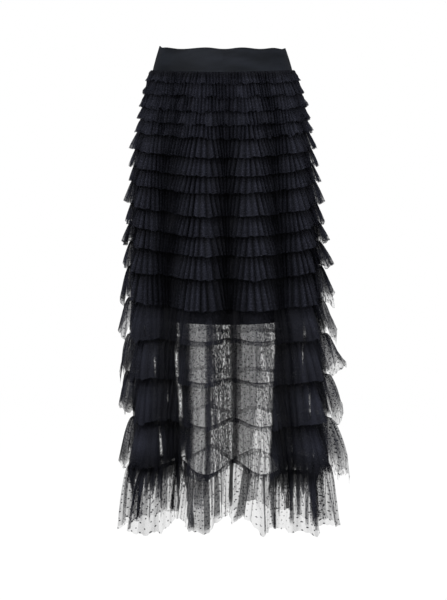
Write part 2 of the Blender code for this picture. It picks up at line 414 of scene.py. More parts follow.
def make_lining():
    turn = np.arange(LINING_COLUMNS) * 360 / LINING_COLUMNS
    down = np.linspace(0, 1, LINING_ROWS)
    turn, down = np.meshgrid(turn, down)
    height = BAND_BOTTOM + CAUGHT_IN * (1 - down) ** 30 + (LINING_HEM - BAND_BOTTOM) * down
    heights = [-s.height for s in SECTIONS]
    spare = np.interp(-height, heights, [s.fold for s in SECTIONS])
    inset = FOUNDATION_WALL + SEAM_GAP + LINING_WALL / 2
    inset = inset + spare * DEEPEST_VALLEY * (1 - LINING_FOLD_SHARE)
    rows = hang(turn, height, inset=inset, fold_share=LINING_FOLD_SHARE, drape_share=0.0)
    ripple = np.sin(np.radians(turn * 29)) * 0.6 + np.sin(np.radians(turn * 17 + 40)) * 0.4
    rows = moved_out(rows, -0.0004 + 0.0006 * ripple * down)
    hem_round = np.linalg.norm(np.diff(rows[-1], axis=0), axis=1).sum()
    cut = (hem_round, BAND_BOTTOM - LINING_HEM)
    lining = ring_of_cloth("opaque_lining", rows, cut, lining_finish())
    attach(lining, "root")
    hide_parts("lining")


make_lining()


# --------------------------------------------------------------------------------- the foundation
# A plain underskirt of the same net as the tiers but without dots, softly gathered at the band.
# Every tier is sewn to it. It ends just below the last tier's seam.
FOUNDATION_HEM = -0.852
FOUNDATION_COLUMNS, FOUNDATION_ROWS = 660, 60
# The net's colour in full painted shade and in full painted light.
NET_SHADED_AND_LIT_COLOURS = (0.0022, 0.0023, 0.0032, 1), (0.0236, 0.0252, 0.0368, 1)
NET_PITCH = 0.0016
NET_THREAD = 0.30
NET_COVER_THREAD, NET_COVER_HOLE = 0.34, 0.09
DOT_PITCH = 0.0148
DOT_RADIUS = 0.00118
DOT_COVER = 0.94
DOT_STRAY = 0.0045
SHOWN_WIDTH = 0.80
SPECK_SCALE = (460.0, 115.0, 1.0)
DotSet = namedtuple("DotSet", "shift_across shift_down from_layers to_layers")
DOT_SETS = [
    DotSet(0.0000, 0.0000, 0.00, 0.05),
    DotSet(0.0061, 0.0044, 2.80, 3.80),
    DotSet(0.0094, 0.0127, 4.00, 5.00),
]


def tulle_finish():
    """Black net with small woven dots, laid out on the flat cloth.

    The number layers tells how many layers of net lie together at a point, each with dots of its
    own, and tone how much light reaches it between the folds. The pleats hide some of the cloth's
    width, so the dots are laid out over the width that shows, and stray a little from their rows.
    Where the number crumpled is high, the dots of many small creases come together in specks.
    """
    finish, w, shader = new_finish("dotted_tulle", 0.65, 0.05, 0.0)
    place = w.add("ShaderNodeUVMap", uv_map="cut").outputs[0]
    split = w.add("ShaderNodeSeparateXYZ", inputs={0: place})
    across, down = split.outputs[0], split.outputs[1]
    layers, cover = w.number("layers"), w.math("MULTIPLY", w.number("dotted"), DOT_COVER)

    def nearest(line, pitch):
        """How far a point is from the nearest line of a set, in line spacings."""
        return w.math("PINGPONG", w.math("DIVIDE", line, pitch), 0.5)

    rising, falling = w.math("ADD", across, down), w.math("SUBTRACT", across, down)
    thread = w.math("MINIMUM", nearest(rising, NET_PITCH), nearest(falling, NET_PITCH))
    net = w.between(thread, 0.0, NET_THREAD, NET_COVER_THREAD, NET_COVER_HOLE)
    clear = w.math("POWER", w.math("SUBTRACT", 1.0, net), layers)
    stray = w.add("ShaderNodeTexNoise", inputs={"Vector": place, "Scale": 110.0, "Detail": 0.0})
    stray = w.math("MULTIPLY", w.math("SUBTRACT", stray.outputs[0], 0.5), DOT_STRAY)
    shown = w.math("MULTIPLY_ADD", across, SHOWN_WIDTH, stray)
    climbing, sinking = w.math("ADD", shown, down), w.math("SUBTRACT", shown, down)
    radius = DOT_RADIUS * math.sqrt(2) / DOT_PITCH
    for dots in DOT_SETS:
        one = nearest(w.math("ADD", climbing, dots.shift_across), DOT_PITCH)
        other = nearest(w.math("ADD", sinking, dots.shift_down), DOT_PITCH)
        away = w.math("MULTIPLY_ADD", one, one, w.math("MULTIPLY", other, other))
        dot = w.between(away, (radius * 0.8) ** 2, (radius * 1.2) ** 2, cover, 0.0)
        dot = w.math("MULTIPLY", dot, w.between(layers, dots.from_layers, dots.to_layers))
        clear = w.math("MULTIPLY", clear, w.math("SUBTRACT", 1.0, dot))
    specks = w.add("ShaderNodeMapping", inputs={"Vector": place, "Scale": SPECK_SCALE})
    specks = w.add("ShaderNodeTexNoise", inputs={"Vector": specks.outputs[0], "Scale": 1.0, "Detail": 1.0})
    specks = w.between(specks.outputs[0], 0.50, 0.55, 0.0, DOT_COVER)
    specks = w.math("MULTIPLY", specks, w.number("crumpled"))
    clear = w.math("MULTIPLY", clear, w.math("SUBTRACT", 1.0, specks))
    w.give(shader.inputs["Alpha"], w.math("SUBTRACT", 1.0, clear))

    # Painted light and shade: the net's colour runs from dark to light with its tone, which is the light
    # painted in for the folds, creases and hems, with random blotches of tone.
    w.tint(shader, w.math("POWER", w.number("tone"), 1.2), NET_SHADED_AND_LIT_COLOURS)
    return finish


TULLE = tulle_finish()


def ruffle_tree():
    """Geometry nodes that gather a plain ring of cloth into upright pleats.

    Fine pleats start at the seam and open towards the hem, and broader gathers grow on the way
    down. Pinch sharpens a pleat from a round wave to a narrow crease. Round the ring every wave
    has a whole count, so the cloth closes without a step. In each crease the cloth gets less light
    and lies in more layers, as many more as its number creased says. The numbers pleated and
    frayed tell how deep the pleats are and how ragged the hem is at each point.
    """
    tree = bpy.data.node_groups.new("ruffle_pleats", "GeometryNodeTree")
    tree.interface.new_socket("Cloth", in_out="OUTPUT", socket_type="NodeSocketGeometry")
    tree.interface.new_socket("Cloth", in_out="INPUT", socket_type="NodeSocketGeometry")
    for name, kind in (
        ("Pleats", "NodeSocketInt"),
        ("Pinch", "NodeSocketFloat"),
        ("Depth at seam", "NodeSocketFloat"),
        ("Depth at hem", "NodeSocketFloat"),
        ("Roll", "NodeSocketFloat"),
        ("Gathers", "NodeSocketInt"),
        ("Gather depth", "NodeSocketFloat"),
        ("Unevenness", "NodeSocketFloat"),
        ("Sway", "NodeSocketFloat"),
        ("Crumple", "NodeSocketFloat"),
        ("Hem unevenness", "NodeSocketFloat"),
        ("Fray", "NodeSocketFloat"),
        ("Shading", "NodeSocketFloat"),
        ("Seed", "NodeSocketInt"),
        ("Finish", "NodeSocketMaterial"),
    ):
        tree.interface.new_socket(name, in_out="INPUT", socket_type=kind)
    w = Wiring(tree)
    given = w.add("NodeGroupInput").outputs

    def carried(name):
        node = w.add("GeometryNodeInputNamedAttribute", data_type="FLOAT", inputs={"Name": name})
        return node.outputs[0]

    def noise(scale, layer, detail=1.0, with_drop=0.0):
        """Noise from about -0.5 to 0.5 that runs round the ring and meets itself."""
        seeded = w.math("MULTIPLY_ADD", given["Seed"], 3.17, layer)
        seeded = w.math("MULTIPLY_ADD", down, with_drop, seeded)
        spot = w.add("ShaderNodeCombineXYZ", inputs={0: ring_x, 1: ring_y, 2: seeded}).outputs[0]
        inputs = {"Vector": spot, "Scale": scale, "Detail": detail}
        return w.math("SUBTRACT", w.add("ShaderNodeTexNoise", inputs=inputs).outputs[0], 0.5)

    def half_phase(count, wander):
        return w.math("MULTIPLY", w.math("MULTIPLY_ADD", around, count, wander), math.pi)

    around, down, pleated = carried("round"), carried("down"), carried("pleated")
    whole_turn = w.math("MULTIPLY", around, 2 * math.pi)
    ring_x, ring_y = w.math("COSINE", whole_turn), w.math("SINE", whole_turn)
    wander = w.math("MULTIPLY", noise(4.5, 0.0), given["Unevenness"])
    broad_wander = w.math("MULTIPLY", noise(2.5, 20.0), given["Unevenness"])
    strength = w.math("MULTIPLY_ADD", noise(11.0, 40.0), 2.2, 1.0)
    strength = w.math("MAXIMUM", strength, 0.1)

    phase = half_phase(given["Pleats"], wander)
    crease = w.math("POWER", w.math("ABSOLUTE", w.math("COSINE", phase)), given["Pinch"])
    opening = w.math("POWER", down, 0.6)
    growth = w.math("SUBTRACT", given["Depth at hem"], given["Depth at seam"])
    depth = w.math("MULTIPLY_ADD", growth, opening, given["Depth at seam"])
    depth = w.math("MULTIPLY", depth, w.math("MULTIPLY", strength, pleated))
    pleat = w.math("MULTIPLY", w.math("MULTIPLY_ADD", crease, -2.0, 1.0), depth)
    gather_depth = w.math("MULTIPLY", given["Gather depth"], w.math("POWER", down, 1.2))
    gather_phase = w.math("MULTIPLY", half_phase(given["Gathers"], broad_wander), 2.0)
    gather = w.math("MULTIPLY", w.math("SINE", gather_phase), gather_depth)
    roll = w.math("MULTIPLY", w.math("MULTIPLY", given["Roll"], strength), w.math("POWER", down, 0.4))
    roll = w.math("MULTIPLY", roll, pleated)
    sideways = w.math("MULTIPLY", w.math("SINE", w.math("MULTIPLY", phase, 4.0)), roll)
    sway = w.math("MULTIPLY", noise(5.0, 80.0), given["Sway"])
    sideways = w.math("MULTIPLY_ADD", sway, w.math("POWER", down, 1.3), sideways)
    sink = w.math("MULTIPLY", noise(9.0, 60.0, 2.0), given["Hem unevenness"])
    sink = w.math("MULTIPLY_ADD", noise(38.0, 70.0, 2.0), given["Fray"], sink)
    sink = w.math("MULTIPLY", w.math("MULTIPLY", sink, carried("frayed")), w.math("POWER", down, 3.0))

    face = w.add("GeometryNodeInputNormal").outputs[0]
    side = w.add("ShaderNodeVectorMath", operation="CROSS_PRODUCT", inputs={0: face, 1: (0, 0, 1)})
    side = w.add("ShaderNodeVectorMath", operation="NORMALIZE", inputs={0: side.outputs[0]})
    out_move = w.add("ShaderNodeVectorMath", operation="SCALE", inputs={0: face})
    crumple = w.math("MULTIPLY", noise(9.0, 50.0, 2.0, 0.22), given["Crumple"])
    w.give(out_move.inputs["Scale"], w.math("ADD", w.math("ADD", pleat, gather), crumple))
    side_move = w.add("ShaderNodeVectorMath", operation="SCALE", inputs={0: side.outputs[0]})
    w.give(side_move.inputs["Scale"], sideways)
    drop = w.add("ShaderNodeCombineXYZ", inputs={2: sink})
    for other in (side_move, drop):
        inputs = {0: out_move.outputs[0], 1: other.outputs[0]}
        out_move = w.add("ShaderNodeVectorMath", operation="ADD", inputs=inputs)

    bunched = w.math("MULTIPLY", crease, strength)
    layers = w.math("MULTIPLY_ADD", bunched, carried("creased"), carried("layers"))
    # Painted shade: the tone is darker in each crease of the pleats, as much as Shading says.
    shaded = w.math("MULTIPLY", w.math("MULTIPLY", bunched, pleated), given["Shading"])
    tone = w.math("MULTIPLY", carried("tone"), w.math("SUBTRACT", 1.0, shaded), clamp=True)
    cloth = given["Cloth"]
    for name, value in (("layers", layers), ("tone", tone)):
        inputs = {"Geometry": cloth, "Name": name, "Value": value}
        cloth = w.add("GeometryNodeStoreNamedAttribute", data_type="FLOAT", inputs=inputs).outputs[0]
    placed = w.add("GeometryNodeSetPosition", inputs={"Geometry": cloth, "Offset": out_move.outputs[0]})
    real = w.add("GeometryNodeRealizeInstances", inputs={"Geometry": placed.outputs[0]})
    inputs = {"Geometry": real.outputs[0], "Material": given["Finish"]}
    finished = w.add("GeometryNodeSetMaterial", inputs=inputs)
    w.add("NodeGroupOutput", inputs={"Cloth": finished.outputs[0]})
    return tree


RUFFLE_TREE = ruffle_tree()


def gathered(cloth, **inputs):
    """Runs the pleating nodes on a cloth and keeps the result as its plain mesh.

    Of the inputs, those that the nodes have are set.
    """
    modifier = cloth.modifiers.new("pleats", "NODES")
    modifier.node_group = RUFFLE_TREE
    inputs["finish"] = TULLE
    for item in RUFFLE_TREE.interface.items_tree:
        if item.in_out == "INPUT" and item.name != "Cloth":
            modifier[item.identifier] = inputs[item.name.lower().replace(" ", "_")]
    graph = bpy.context.evaluated_depsgraph_get()
    mesh = bpy.data.meshes.new_from_object(
        cloth.evaluated_get(graph), preserve_all_data_layers=True, depsgraph=graph
    )
    cloth.modifiers.clear()
    plain = cloth.data
    cloth.data = mesh
    bpy.data.meshes.remove(plain)
    mesh.name = cloth.name
    mesh.shade_smooth()


# How the net hangs at each angle in the sheer part of the skirt: how many layers lie everywhere,
# and the spacing and half width in degrees, and the layers, of the loose folds that come on top.
# It is smooth and thin in places at the front and back, and deep at the four quarters. Each edge
# runs down from its angle at the lining's hem to its angle at the last seam, and so do the layers.
Crowding = namedtuple("Crowding", "turn_high turn_low layers_high layers_low spacing fold_half fold_layers")
FRONT_CROWDING = [
    Crowding(-90.0, -90.0, 4.0, 4.0, 1.8, 0.50, 6.0),
    Crowding(-72.0, -72.0, 7.0, 7.0, 5.0, 2.20, 3.0),
    Crowding(-28.5, -29.1, 7.0, 7.0, 5.0, 2.20, 3.0),
    Crowding(-24.4, -25.9, 4.5, 4.5, 4.0, 1.00, 0.8),
    Crowding(-20.7, -23.1, 2.1, 1.7, 4.0, 1.00, 0.8),
    Crowding(-13.9, -18.3, 1.9, 1.6, 4.0, 1.00, 0.8),
    Crowding(-11.7, -16.5, 5.5, 6.0, 2.6, 0.70, 3.0),
    Crowding(-10.7, -15.7, 7.5, 7.0, 2.6, 0.70, 3.0),
    Crowding(-9.5, -15.0, 7.5, 6.0, 2.6, 0.70, 3.0),
    Crowding(-8.5, -14.0, 0.8, 0.5, 0.9, 0.24, 3.5),
    Crowding(1.4, 0.1, 0.8, 0.5, 0.9, 0.24, 3.0),
    Crowding(2.6, 1.5, 8.0, 5.5, 2.6, 0.70, 3.0),
    Crowding(6.1, 2.8, 8.0, 5.5, 2.6, 0.70, 3.0),
    Crowding(8.9, 4.9, 2.7, 1.9, 3.0, 0.80, 1.0),
    Crowding(21.7, 11.0, 2.5, 1.7, 3.0, 0.80, 1.0),
    Crowding(24.1, 13.3, 0.6, 0.1, 1.8, 0.24, 2.4),
    Crowding(30.7, 24.0, 0.6, 0.1, 1.8, 0.24, 1.6),
    Crowding(32.2, 25.4, 7.0, 7.0, 5.0, 2.20, 3.0),
    Crowding(72.0, 72.0, 7.0, 7.0, 5.0, 2.20, 3.0),
    Crowding(90.0, 90.0, 2.6, 2.6, 1.8, 0.50, 6.0),
]
BACK_CROWDING = [
    Crowding(-90.0, -90.0, 4.0, 4.0, 1.8, 0.50, 6.0),
    Crowding(-72.0, -72.0, 7.0, 7.0, 5.0, 2.20, 3.0),
    Crowding(-27.1, -27.7, 6.0, 6.0, 5.0, 2.20, 3.0),
    Crowding(-23.7, -24.8, 1.0, 1.0, 5.0, 1.20, 0.5),
    Crowding(-11.0, -16.3, 1.0, 1.0, 5.0, 1.20, 0.5),
    Crowding(-9.2, -14.7, 0.7, 0.4, 0.9, 0.20, 2.5),
    Crowding(2.0, 0.7, 0.7, 0.4, 0.9, 0.20, 2.5),
    Crowding(3.6, 2.6, 1.0, 1.0, 5.0, 1.20, 0.5),
    Crowding(22.4, 11.0, 1.0, 1.0, 5.0, 1.20, 0.5),
    Crowding(24.1, 13.3, 0.6, 0.1, 1.8, 0.24, 1.6),
    Crowding(31.1, 24.4, 0.6, 0.1, 1.8, 0.24, 1.6),
    Crowding(32.5, 26.1, 6.0, 6.0, 5.0, 2.20, 3.0),
    Crowding(72.0, 72.0, 7.0, 7.0, 5.0, 2.20, 3.0),
    Crowding(90.0, 90.0, 2.6, 2.6, 1.8, 0.50, 6.0),
]
# Narrow gaps where the deep net at the quarters parts.
Parting = namedtuple("Parting", "turn half_width top bottom")
PARTINGS = [
    Parting(-32.0, 1.7, -0.545, -0.604),
    Parting(-33.7, 2.0, -0.606, -0.690),
    Parting(-32.3, 2.3, -0.680, -0.772),
    Parting(-31.9, 2.4, -0.812, -0.866),
    Parting(-52.5, 1.5, -0.622, -0.668),
    Parting(-50.5, 1.9, -0.775, -0.850),
    Parting(-42.0, 0.9, -0.700, -0.740),
    Parting(-63.0, 1.4, -0.560, -0.590),
    Parting(41.5, 1.0, -0.818, -0.842),
    Parting(56.0, 2.4, -0.560, -0.596),
    Parting(53.0, 1.0, -0.600, -0.655),
    Parting(60.0, 1.8, -0.690, -0.752),
    Parting(64.0, 2.4, -0.820, -0.856),
]
Net = namedtuple("Net", "layers spacing fold_half fold_layers")
# The net in front and behind is thin in line, as seen from VIEW_DISTANCE before the skirt. That is
# the camera's distance, but the numbers are fixed on the cloth and no node reads the camera.
VIEW_DISTANCE, FRONT_DEPTH = 5.0, 0.13
# The middles of the two smooth panels, which are narrower at each seam and fuller between them.
SMOOTH_MIDDLES = (-17.0, 14.0)
LAST_NET = Net(layers=0.8, spacing=2.0, fold_half=0.55, fold_layers=4.5)


def seen_across(points):
    """How far across the skirt's front each point shows, seen from VIEW_DISTANCE before it."""
    return points[..., 0] * (VIEW_DISTANCE - FRONT_DEPTH) / (VIEW_DISTANCE + points[..., 1])


def seen_turn(points):
    """The angle on the foundation's front at which each point shows in that view."""
    heights = [-s.height for s in SECTIONS]
    wide = np.interp(-points[..., 2], heights, [s.half_width for s in SECTIONS])
    shift = np.interp(-points[..., 2], heights, [s.shift for s in SECTIONS])
    return np.degrees(np.arcsin(np.clip((seen_across(points) - shift) / wide, -1, 1)))


def crowding(seen, in_front, height):
    """How the net hangs at each seen angle and height, for arrays of both."""
    low = np.clip((LINING_HEM - height) / (LINING_HEM - FOUNDATION_HEM), 0, 1)
    seen = seen + 0.30 * np.sin(190 * height + seen) + 0.25 * np.sin(430 * height + 1.7 * seen)
    net = Net(*(np.zeros_like(seen) for _ in Net._fields))
    for edges, side in ((FRONT_CROWDING, in_front), (BACK_CROWDING, ~in_front)):
        here = [0, 0, 0, 0]
        for number, edge in enumerate(edges):
            sizes = (edge.layers_high + (edge.layers_low - edge.layers_high) * low, *edge[4:])
            start = edge.turn_high + (edge.turn_low - edge.turn_high) * low
            if number == 0:
                here = [np.full_like(seen, size) for size in sizes]
            else:
                share = np.clip((seen - before) / (start - before), 0, 1)
                here = [old + (size - old) * share for old, size in zip(here, sizes)]
            before = start
        for total, value in zip(net, here):
            total[side] = value[side]
    return net


def together(seen, height):
    """1 where the deep net hangs together, down to 0 in the narrow gaps where it parts."""
    parted = np.zeros_like(seen)
    for gap in PARTINGS:
        beside = np.clip(2 - 2 * np.abs(seen - gap.turn) / gap.half_width, 0, 1)
        above = np.clip((gap.top - height) / 0.010, 0, 1)
        below = np.clip((height - gap.bottom) / 0.010, 0, 1)
        parted = np.maximum(parted, beside * above * below)
    return 1 - 0.93 * parted


def crowding_here(turn, height):
    """How the net hangs at one angle round the skirt, for a single height."""
    in_front = abs(turn) <= 90
    seen = turn if in_front else math.copysign(180, turn) - turn
    net = crowding(np.array([seen]), np.array([in_front]), np.array([height]))
    return Net(*(size[0] for size in net))


def loose_folds(turn, down, seed, shortest, low=0.0, net=None):
    """A tier's loose folds, for arrays of angles and of the way down it.

    Each fold is a flat strip from the seam down, a little aslant and wider at its lower end, with
    an edge on either side where the net turns over, which lies in more layers and has painted shade.
    shortest is the least share of the tier that one reaches. Their sizes are those of net, or of the
    crowding at each angle, low being how far down the sheer part the tier is. The result is the layers
    that the folds add, and the painted light of each one, how much light it turns to the front.
    """
    chance = np.random.default_rng(seed)
    turn = (turn + 180) % 360 - 180
    height = LINING_HEM + (FOUNDATION_HEM - LINING_HEM) * low
    added, light, middle = np.zeros_like(turn), np.ones_like(turn), -180.0
    while middle < 178:
        zone = net or crowding_here(middle, height)
        middle += zone.spacing * chance.uniform(0.6, 1.4)
        slant, reach = chance.normal(0, 1.0), chance.uniform(shortest, 1.6)
        half = zone.fold_half * chance.uniform(0.5, 1.5) * (0.6 + 0.8 * down)
        off = np.abs(turn - middle - slant * down)
        inside = np.clip((half - off) / 0.2, 0, 1)
        edge = np.clip(1 - np.abs(off - half) / 0.3, 0, 1)
        ended = np.clip((reach - down) / 0.08, 0, 1)
        added += zone.fold_layers * chance.uniform(0.5, 1.5) * (inside + 0.6 * edge) * ended
        # Painted light and shade: each fold gets a random share of light, less along its edges.
        light += (chance.uniform(0.70, 1.25) - 0.25 * edge - light) * inside * ended
    return added, light


def spikes(turn, seed, size=1.0):
    """A row of uneven points round the skirt, as shares from 0.2 at their feet to 0.8 at the tips."""
    chance = np.random.default_rng(seed)
    turn, reach, middle = (turn + 180) % 360 - 180, np.full_like(turn, 0.20), -180.0
    while middle < 178:
        middle += size * chance.uniform(0.6, 2.4)
        half, longest = size * chance.uniform(0.5, 1.8), chance.choice([0.36, 0.44, 0.56, 0.78])
        point = np.clip(1 - np.abs(turn - middle) / half, 0, 1) ** 0.7
        reach = np.maximum(reach, longest * point)
    return reach


def fold_light(turn, height, opened):
    """How much light reaches the cloth: less in the valleys of the standing folds.

    opened runs from 0 at a tier's seam, where it lies deep between its neighbours, to 1 at its
    hem, where it fans out into the light.
    """
    fold = np.interp(-height, [-s.height for s in SECTIONS], [s.fold for s in SECTIONS])
    depth = np.clip(fold / 0.0088, 0, 1.1)
    out = along_folds(turn).out + 0.9 * (opened - 0.6)
    return np.clip(0.84 + depth * (0.34 * out - 0.15), 0.14, 1.0)


def make_foundation():
    turn = np.arange(FOUNDATION_COLUMNS) * 360 / FOUNDATION_COLUMNS
    turn, down = np.meshgrid(turn, np.linspace(0, 1, FOUNDATION_ROWS))
    height = BAND_BOTTOM + CAUGHT_IN * (1 - down) ** 30 + (FOUNDATION_HEM - BAND_BOTTOM) * down
    rows = moved_out(hang(turn, height), np.full_like(turn, -FOUNDATION_WALL / 2))
    hem_round = np.linalg.norm(np.diff(rows[-1], axis=0), axis=1).sum()
    cut = (hem_round, BAND_BOTTOM - FOUNDATION_HEM)
    seen = seen_turn(rows)
    layers = crowding(seen, rows[..., 1] < 0, height).layers * together(seen, height)
    # Painted shade: the foundation under the tiers gets 0.4 of the light, and less in the fold valleys.
    tone = 0.4 * fold_light(turn, height, 0.5)
    values = {"layers": layers, "creased": 0.1 * layers, "tone": tone, "pleated": np.ones_like(turn)}
    for name in ("frayed", "dotted", "crumpled"):
        values[name] = np.zeros_like(turn)
    cloth = ring_of_cloth("tulle_foundation", rows, cut, TULLE, values=values)
    gathered(
        cloth,
        pleats=88,
        pinch=4.0,
        depth_at_seam=0.0003,
        depth_at_hem=0.0005,
        roll=0.0,
        gathers=31,
        gather_depth=0.0004,
        unevenness=1.5,
        sway=0.0,
        crumple=0.0,
        hem_unevenness=0.0,
        fray=0.0,
        shading=0.4,
        seed=1,
    )
    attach(cloth, "root")
    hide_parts("foundation")


make_foundation()


# -------------------------------------------------------------------------------------- the tiers
# Eighteen strips of dotted net with raw-cut edges, each gathered onto the foundation along its top
# edge. Five are narrow, seven medium and six deep, and each hem covers the next one's seam.
Tier = namedtuple("Tier", "hem flare wave side_lift phase")
TIERS = [
    Tier(-0.059, 0.0050, 0.0006, 0.000, 0),
    Tier(-0.087, 0.0060, 0.0008, 0.000, 3),
    Tier(-0.116, 0.0075, 0.0010, 0.000, 1),
    Tier(-0.144, 0.0080, 0.0010, 0.000, 4),
    Tier(-0.172, 0.0085, 0.0012, 0.000, 2),
    Tier(-0.211, 0.0105, 0.0020, 0.002, 5),
    Tier(-0.249, 0.0105, 0.0022, 0.003, 1),
    Tier(-0.284, 0.0105, 0.0024, 0.004, 3),
    Tier(-0.330, 0.0115, 0.0026, 0.006, 0),
    Tier(-0.371, 0.0120, 0.0028, 0.009, 2),
    Tier(-0.410, 0.0125, 0.0030, 0.011, 5),
    Tier(-0.457, 0.0135, 0.0034, 0.012, 1),
    Tier(-0.520, 0.0155, 0.0040, 0.017, 0),
    Tier(-0.589, 0.0190, 0.0050, 0.021, 1),
    Tier(-0.671, 0.0220, 0.0058, 0.026, 0),
    Tier(-0.758, 0.0240, 0.0064, 0.028, 5),
    Tier(-0.853, 0.0270, 0.0070, 0.026, 0),
    Tier(-0.956, 0.0250, 0.0076, 0.008, 1),
]
OVERLAP_SMALL, OVERLAP_LARGE, FIRST_LARGE_TIER = 0.0080, 0.0095, 13
# Tiers by their place in TIERS, from 0: where the narrow ones end, and where the loose sides, the
# sheer tiers and the last one begin.
NARROW_END, FIRST_LOOSE, FIRST_SHEER, LAST_TIER = 5, 12, 13, 17
TIER_WALL = 0.0016
PHASE_STEP = 360 / 66
# How each group of tiers is gathered. fan is how far, in degrees, the pleats spread towards the
# valleys at the hem, sway how far they swing sideways, fray how ragged the cut hem is, and
# fullness the cut strip's length over the seam's.
Gathering = namedtuple(
    "Gathering",
    "first columns rows pleats pinch depth_at_seam depth_at_hem roll gathers gather_depth"
    " fan sway crumple fullness hem_unevenness fray shading",
)
GATHERINGS = [
    Gathering(
        first=1, columns=1440, rows=8, pleats=138, pinch=2.0, depth_at_seam=0.0016, depth_at_hem=0.0030,
        roll=0.0006, gathers=47, gather_depth=0.0016, fan=1.0, sway=0.012, crumple=0.009,
        fullness=1.7, hem_unevenness=0.018, fray=0.010, shading=0.72,
    ),
    Gathering(
        first=6, columns=1300, rows=12, pleats=126, pinch=2.6, depth_at_seam=0.0012, depth_at_hem=0.0036,
        roll=0.0008, gathers=41, gather_depth=0.0012, fan=2.6, sway=0.006, crumple=0.001,
        fullness=1.7, hem_unevenness=0.008, fray=0.006, shading=0.80,
    ),
    Gathering(
        first=14, columns=1200, rows=22, pleats=96, pinch=4.0, depth_at_seam=0.0014, depth_at_hem=0.0030,
        roll=0.0008, gathers=34, gather_depth=0.0035, fan=1.5, sway=0.006, crumple=0.002,
        fullness=1.55, hem_unevenness=0.016, fray=0.014, shading=0.30,
    ),
    Gathering(
        first=18, columns=1300, rows=24, pleats=104, pinch=5.0, depth_at_seam=0.0014, depth_at_hem=0.0024,
        roll=0.0006, gathers=29, gather_depth=0.0040, fan=2.0, sway=0.022, crumple=0.003,
        fullness=1.55, hem_unevenness=0.030, fray=0.014, shading=0.40,
    ),
]
# The loose folds that hang from the last tier's seam, by how far across the front they are at both
# of its edges, the points in which the deep net at the quarters ends, and where its hem hangs
# lower or higher.
Strand = namedtuple("Strand", "place_high place_low half_width layers reach")
STRANDS = [
    Strand(-0.2042, -0.2103, 0.0024, 4.0, 1.00),
    Strand(-0.1439, -0.1459, 0.0018, 7.0, 0.85),
    Strand(-0.1298, -0.1318, 0.0040, 6.0, 0.60),
    Strand(-0.1177, -0.1157, 0.0070, 6.0, 0.76),
    Strand(-0.0976, -0.1016, 0.0016, 6.0, 0.85),
    Strand(-0.0885, -0.0875, 0.0032, 8.0, 0.88),
    Strand(-0.0704, -0.0614, 0.0076, 11.0, 0.97),
    Strand(-0.0584, -0.0574, 0.0024, 12.0, 0.97),
    Strand(-0.0473, -0.0473, 0.0080, 6.0, 0.62),
    Strand(-0.0473, -0.0473, 0.0080, 3.0, 1.00),
    Strand(-0.0342, -0.0322, 0.0060, 11.0, 0.97),
    Strand(-0.0232, -0.0211, 0.0028, 5.0, 0.80),
    Strand(-0.0131, -0.0121, 0.0040, 9.0, 0.90),
    Strand(-0.0030, -0.0030, 0.0020, 6.0, 0.92),
    Strand(0.0181, 0.0161, 0.0048, 14.0, 0.82),
    Strand(0.0523, 0.0322, 0.0089, 8.5, 1.00),
    Strand(0.0674, 0.0553, 0.0012, 5.0, 1.00),
    Strand(0.0825, 0.0835, 0.0022, 11.0, 1.00),
    Strand(0.1006, 0.1006, 0.0020, 11.0, 1.00),
    Strand(0.1137, 0.1137, 0.0020, 4.0, 0.80),
    Strand(0.1378, 0.1388, 0.0036, 8.0, 0.88),
    Strand(0.1539, 0.1519, 0.0028, 6.0, 0.80),
    Strand(0.1680, 0.1680, 0.0028, 6.0, 0.90),
    Strand(0.1821, 0.1801, 0.0028, 6.0, 0.84),
    Strand(0.2042, 0.2223, 0.0014, 5.0, 0.90),
]
Spike = namedtuple("Spike", "place half_width reach")
SPIKES = [
    Spike(-0.172, 0.0172, 0.34),
    Spike(-0.180, 0.0095, 0.64),
    Spike(-0.164, 0.0086, 0.48),
    Spike(-0.152, 0.0069, 0.46),
    Spike(-0.140, 0.0095, 0.54),
    Spike(-0.128, 0.0069, 0.46),
    Spike(-0.124, 0.0030, 0.70),
    Spike(-0.114, 0.0037, 0.36),
    Spike(-0.090, 0.0037, 0.66),
    Spike(0.108, 0.0052, 0.30),
    Spike(0.122, 0.0086, 0.48),
    Spike(0.138, 0.0086, 0.66),
    Spike(0.150, 0.0069, 0.54),
    Spike(0.162, 0.0077, 0.50),
    Spike(0.176, 0.0077, 0.62),
    Spike(0.186, 0.0037, 0.40),
]
DEEP_REACH, DEEP_LAYERS = 0.30, 20.0
HemPoint = namedtuple("HemPoint", "turn half_width sinks")
HEM_POINTS = [
    HemPoint(-50.0, 9.0, 0.020),
    HemPoint(-38.0, 2.5, -0.014),
    HemPoint(5.0, 5.0, 0.022),
    HemPoint(13.5, 4.0, -0.014),
]


def uneven(turn, seed):
    """A smooth uneven number from -1 to 1 round the skirt, the same each time for a seed."""
    chance = np.random.default_rng(seed)
    total = np.zeros_like(turn)
    for count in (23, 37, 61, 89, 127):
        total += np.sin(np.radians(turn * count) + chance.uniform(0, 2 * math.pi))
    return total / 3.5


def seam_height(number):
    """The height of a tier's seam: the band's edge, or just above the hem that covers it."""
    if number == 0:
        return BAND_BOTTOM - SEAM_GAP
    overlap = OVERLAP_LARGE if number >= FIRST_LARGE_TIER else OVERLAP_SMALL
    return TIERS[number - 1].hem + overlap


